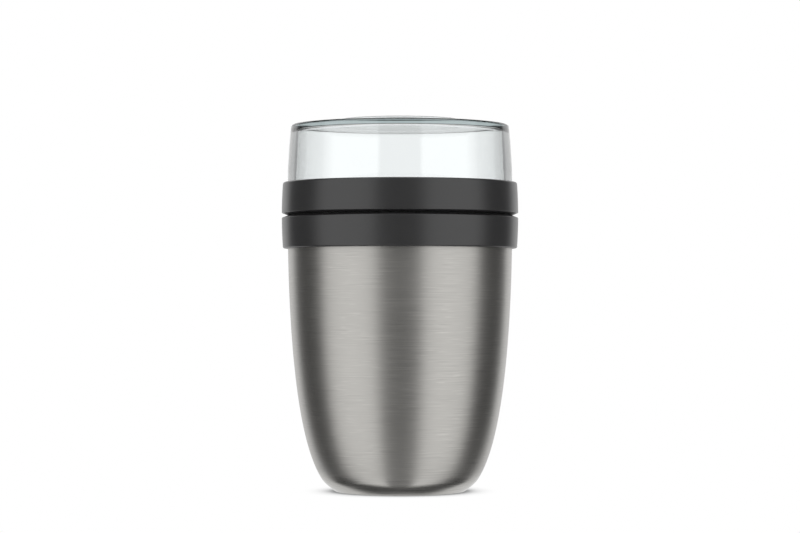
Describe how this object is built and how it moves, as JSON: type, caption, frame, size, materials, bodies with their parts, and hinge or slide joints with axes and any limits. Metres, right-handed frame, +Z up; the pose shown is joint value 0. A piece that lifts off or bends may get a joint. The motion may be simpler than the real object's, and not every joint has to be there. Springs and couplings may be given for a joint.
{
  "type": "insulated food container",
  "caption": "Double-walled steel food pot with a dark screw lid, carrying a clear cup upside down on a screw lid of its own.",
  "frame": {"origin": "centre of the ring that the pot stands on", "axes": "+Z up along the pot's axis; +X and +Y are alike, as the body is round"},
  "size_m": [0.1068, 0.1068, 0.1675],
  "materials": {
    "brushed_wall": "brushed round the body",
    "liner_steel": "electropolished satin",
    "base_steel": "turned",
    "solder": "melted bead",
    "getter_metal": "pressed powder",
    "foil": "bright rolled",
    "silicone": "soft matte",
    "lid_plastic": "satin moulded",
    "plug_plastic": "smooth moulded",
    "foam": "closed-cell foam",
    "ring_rubber": "soft matte",
    "clear_plastic": "clear polished"
  },
  "bodies": {
    "pot": {"outer_shell": "brushed_wall", "inner_shell": "liner_steel", "base_plate": "base_steel", "base_cover": "base_steel", "vacuum_seal": "solder", "getter": "getter_metal", "heat_foil": "foil"},
    "pot_seal": {"pot_seal": "silicone"},
    "pot_lid": {"pot_lid_shell": "lid_plastic", "pot_lid_plug": "plug_plastic", "lid_foam": "foam"},
    "joint_ring": {"joint_ring": "ring_rubber"},
    "cup_lid": {"cup_lid_shell": "lid_plastic"},
    "cup_seal": {"cup_seal": "silicone"},
    "cup": {"cup": "clear_plastic"}
  },
  "joints": [
    {"name": "pot_lid_rise", "type": "slide", "parent": "pot", "child": "pot_seal", "axis": [0, 0, 1], "range_m": [0, 0.016]},
    {"name": "pot_lid_turn", "type": "hinge", "parent": "pot_seal", "child": "pot_lid", "pos_m": [0, 0, 0.116], "axis": [0, 0, 1], "range_deg": [0, 360]},
    {"name": "cup_lid_turn", "type": "hinge", "parent": "pot_lid", "child": "joint_ring", "pos_m": [0, 0, 0.1243], "axis": [0, 0, 1], "range_deg": [0, 180]},
    {"name": "cup_lid_rise", "type": "slide", "parent": "joint_ring", "child": "cup_lid", "axis": [0, 0, 1], "range_m": [0, 0.008]},
    {"name": "cup_turn", "type": "hinge", "parent": "cup_lid", "child": "cup_seal", "pos_m": [0, 0, 0.1326], "axis": [0, 0, 1], "range_deg": [0, 360]},
    {"name": "cup_rise", "type": "slide", "parent": "cup_seal", "child": "cup", "axis": [0, 0, 1], "range_m": [0, 0.016]}
  ],
  "couplings": [
    {"joint": "pot_lid_rise", "follows": "pot_lid_turn", "m_per_rad": 0.0025464},
    {"joint": "cup_lid_rise", "follows": "cup_lid_turn", "m_per_rad": 0.0025464},
    {"joint": "cup_rise", "follows": "cup_turn", "m_per_rad": 0.0025464}
  ]
}
